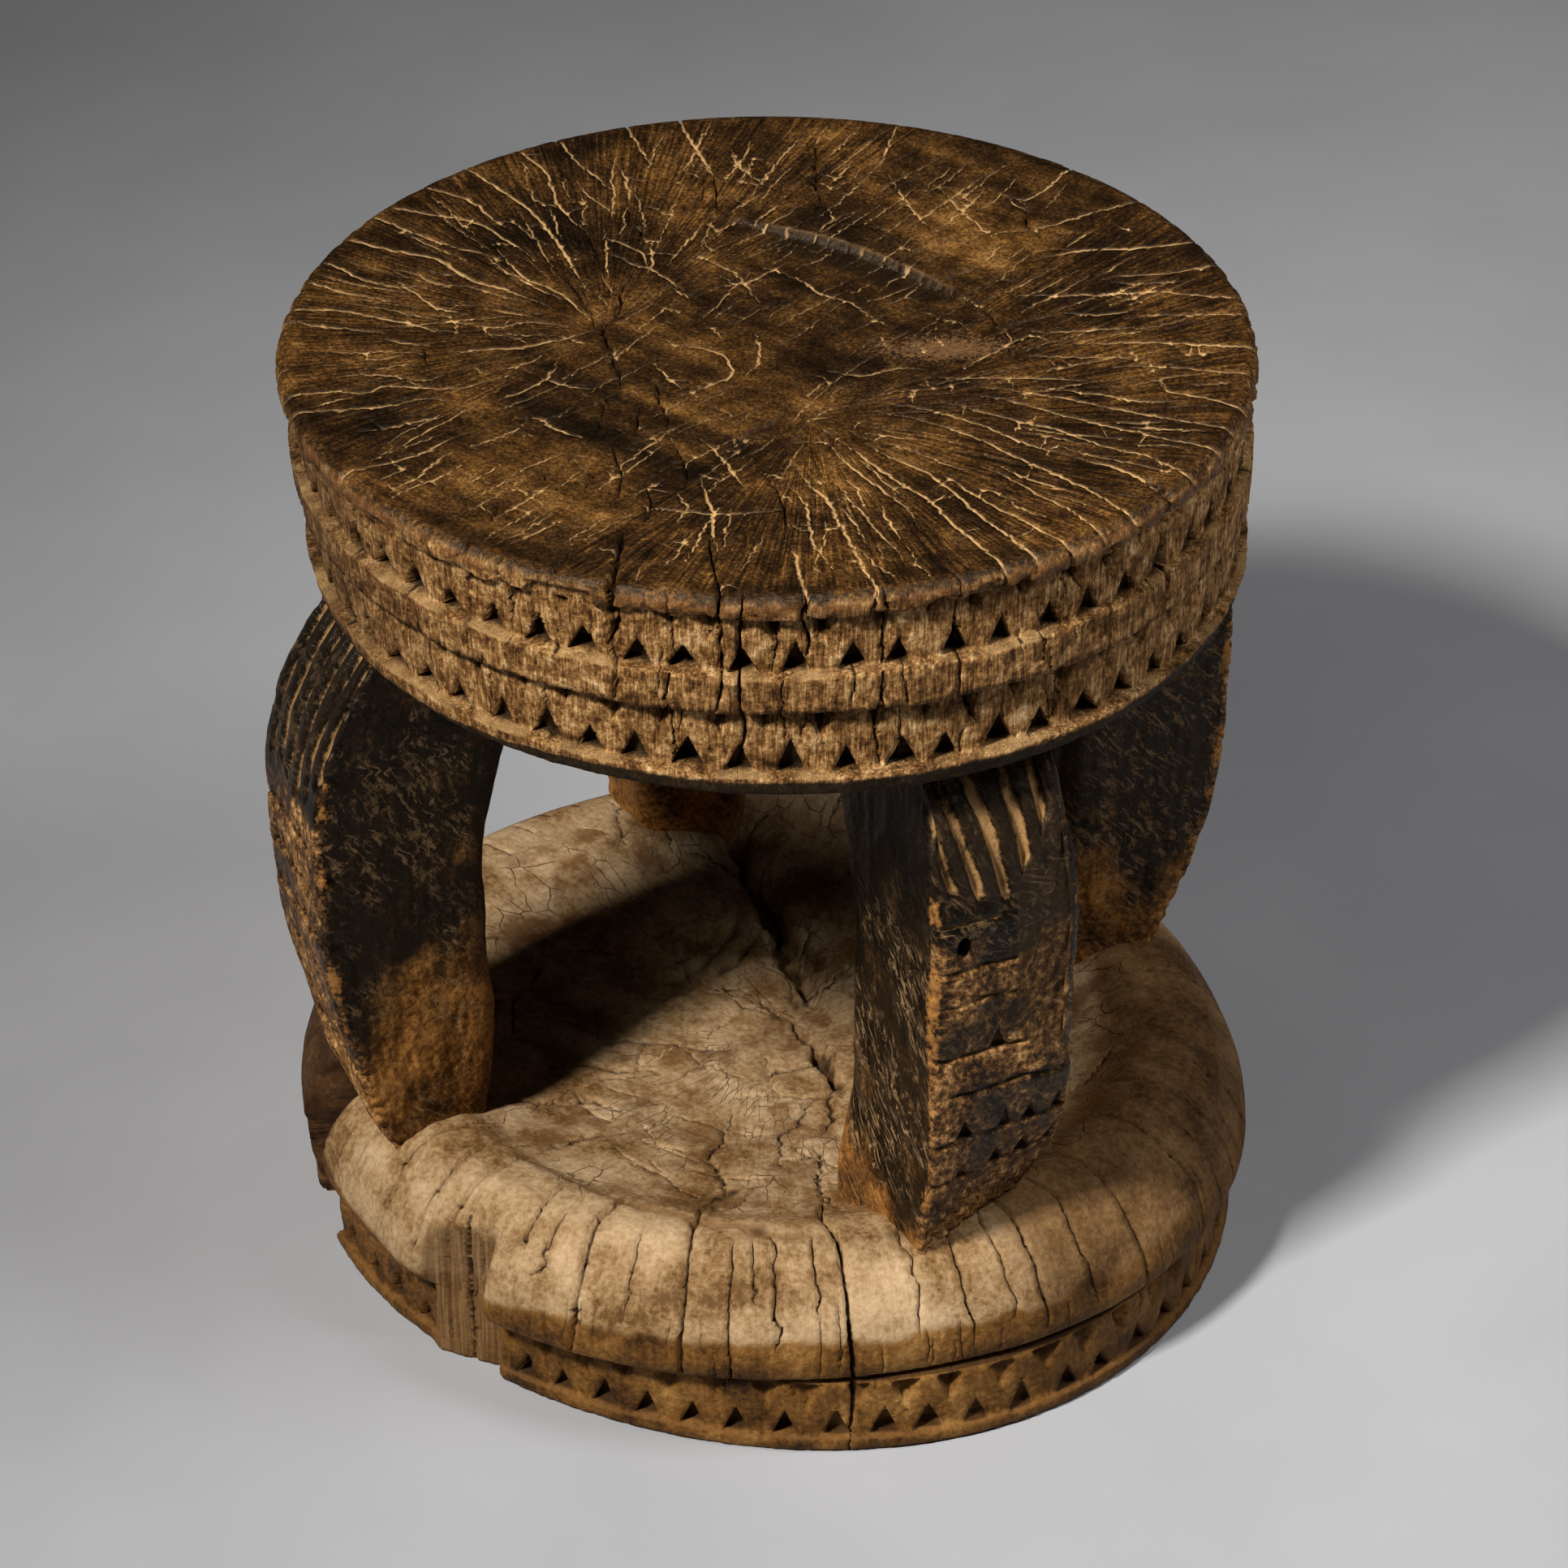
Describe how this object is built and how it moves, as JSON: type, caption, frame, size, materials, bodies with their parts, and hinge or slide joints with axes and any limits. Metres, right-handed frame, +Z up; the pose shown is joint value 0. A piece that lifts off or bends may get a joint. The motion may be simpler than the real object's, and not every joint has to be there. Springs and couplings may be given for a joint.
{
  "type": "stool",
  "caption": "Low round wooden stool carved in one piece: thick dished seat and dished base joined by bowed slab legs, with chip-carved tooth bands round the rims and fluted, scored legs.",
  "frame": {"origin": "on the floor under the middle of the seat", "axes": "+Z up, -Y towards the front, which is the side between the left leg and the front leg that the picture shows"},
  "size_m": [0.2427, 0.2385, 0.242],
  "materials": {
    "seat_wood": "worn dark patina, satin, with dust in the cracks",
    "leg_wood": "blackened and hand polished, worn to brown at the arrises",
    "base_wood": "dry, dusty and cracked, matt"
  },
  "bodies": {
    "root": {"seat": "seat_wood", "leg_left": "leg_wood", "leg_front": "leg_wood", "leg_right": "leg_wood", "leg_back": "leg_wood", "base": "base_wood"}
  },
  "joints": []
}
